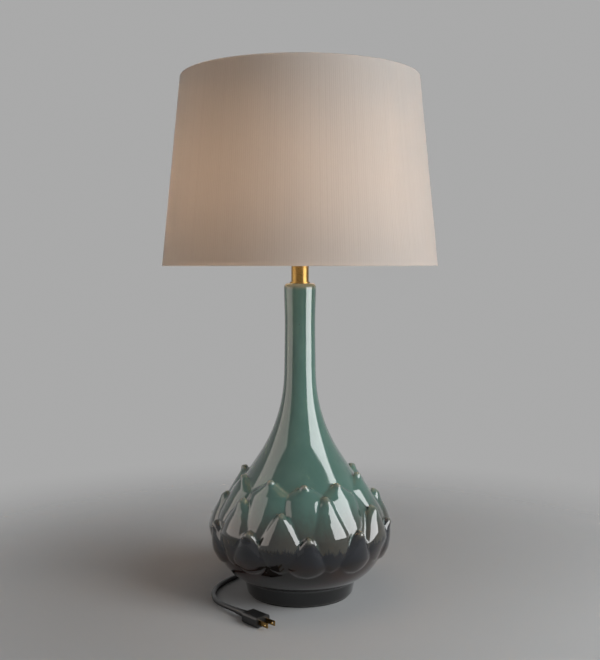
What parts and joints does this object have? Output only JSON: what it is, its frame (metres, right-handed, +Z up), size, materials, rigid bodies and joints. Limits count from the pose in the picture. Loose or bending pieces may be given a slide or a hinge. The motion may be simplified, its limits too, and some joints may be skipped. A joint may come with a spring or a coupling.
{
  "type": "table lamp",
  "caption": "Table lamp: glazed ceramic bottle with staggered rows of petals, brass neck, and a tapered drum shade on a harp over a screw bulb.",
  "frame": {"origin": "on the table, under the middle of the foot", "axes": "+Z up along the lamp's axis, front towards -Y, the cord leaves the back of the foot at +Y"},
  "size_m": [0.4064, 0.4317, 0.762],
  "materials": {
    "glaze": "celadon glaze running to dark brown, glossy",
    "felt": "black felt",
    "steel": "zinc plated",
    "brass": "satin brass",
    "card": "fibre insulation",
    "bakelite": "black moulded",
    "bulb_metal": "bare",
    "bulb_glass": "frosted",
    "shade_cloth": "off-white ribbed cloth",
    "shade_film": "white styrene",
    "cord_jacket": "black, smooth",
    "lead_insulation": "smooth"
  },
  "bodies": {
    "base": {"ceramic_body": "glaze", "felt_pad": "felt", "bottom_washer": "steel", "bottom_nut": "steel", "lamp_pipe": "steel", "neck_nut": "steel", "terminal_screws": "steel", "neck_ring": "brass", "brass_neck": "brass", "harp_saddle": "brass", "harp_bow": "brass", "socket_cap": "brass", "socket_shell": "brass", "screw_shell": "brass", "centre_contact": "brass", "plug_blades": "brass", "socket_liner": "card", "socket_core": "bakelite", "cord_entry": "cord_jacket", "cord_lead": "cord_jacket", "cord_coil": "cord_jacket", "cord_tail": "cord_jacket", "cord_gland": "cord_jacket", "plug_relief": "cord_jacket", "plug_body": "cord_jacket", "cord_tie": "cord_jacket", "lead_line": "lead_insulation", "lead_neutral": "lead_insulation"},
    "stud": {"harp_stud": "brass"},
    "shade": {"shade_fabric": "shade_cloth", "shade_liner": "shade_film", "shade_top_ring": "steel", "shade_bottom_ring": "steel", "spider_hub": "steel", "spider_arms": "steel"},
    "finial": {"finial": "brass"},
    "sleeve_left": {"harp_sleeve_left": "brass"},
    "sleeve_right": {"harp_sleeve_right": "brass"},
    "switch": {"switch_shaft": "brass", "switch_knob": "bakelite"},
    "bulb": {"bulb_contact": "bulb_metal", "bulb_insulator": "bakelite", "bulb_base": "bulb_metal", "bulb_glass": "bulb_glass", "bulb_stem": "bulb_glass", "bulb_filament": "bulb_metal"}
  },
  "joints": [
    {"name": "shade_turn", "type": "hinge", "parent": "base", "child": "stud", "pos_m": [0, 0, 0.74], "axis": [0, 0, 1], "continuous": true},
    {"name": "shade_lift", "type": "slide", "parent": "stud", "child": "shade", "axis": [0, 0, 1], "range_m": [0, 0.3]},
    {"name": "finial_turn", "type": "hinge", "parent": "shade", "child": "finial", "pos_m": [0, 0, 0.74], "axis": [0, 0, 1], "continuous": true},
    {"name": "sleeve_left_slide", "type": "slide", "parent": "base", "child": "sleeve_left", "axis": [0, 0, 1], "range_m": [0, 0.01]},
    {"name": "sleeve_right_slide", "type": "slide", "parent": "base", "child": "sleeve_right", "axis": [0, 0, 1], "range_m": [0, 0.01]},
    {"name": "switch_turn", "type": "hinge", "parent": "base", "child": "switch", "pos_m": [0, -0.03, 0.5336], "axis": [0, -1, 0], "continuous": true},
    {"name": "bulb_turn", "type": "hinge", "parent": "base", "child": "bulb", "pos_m": [0, 0, 0.56], "axis": [0, 0, 1], "continuous": true}
  ]
}
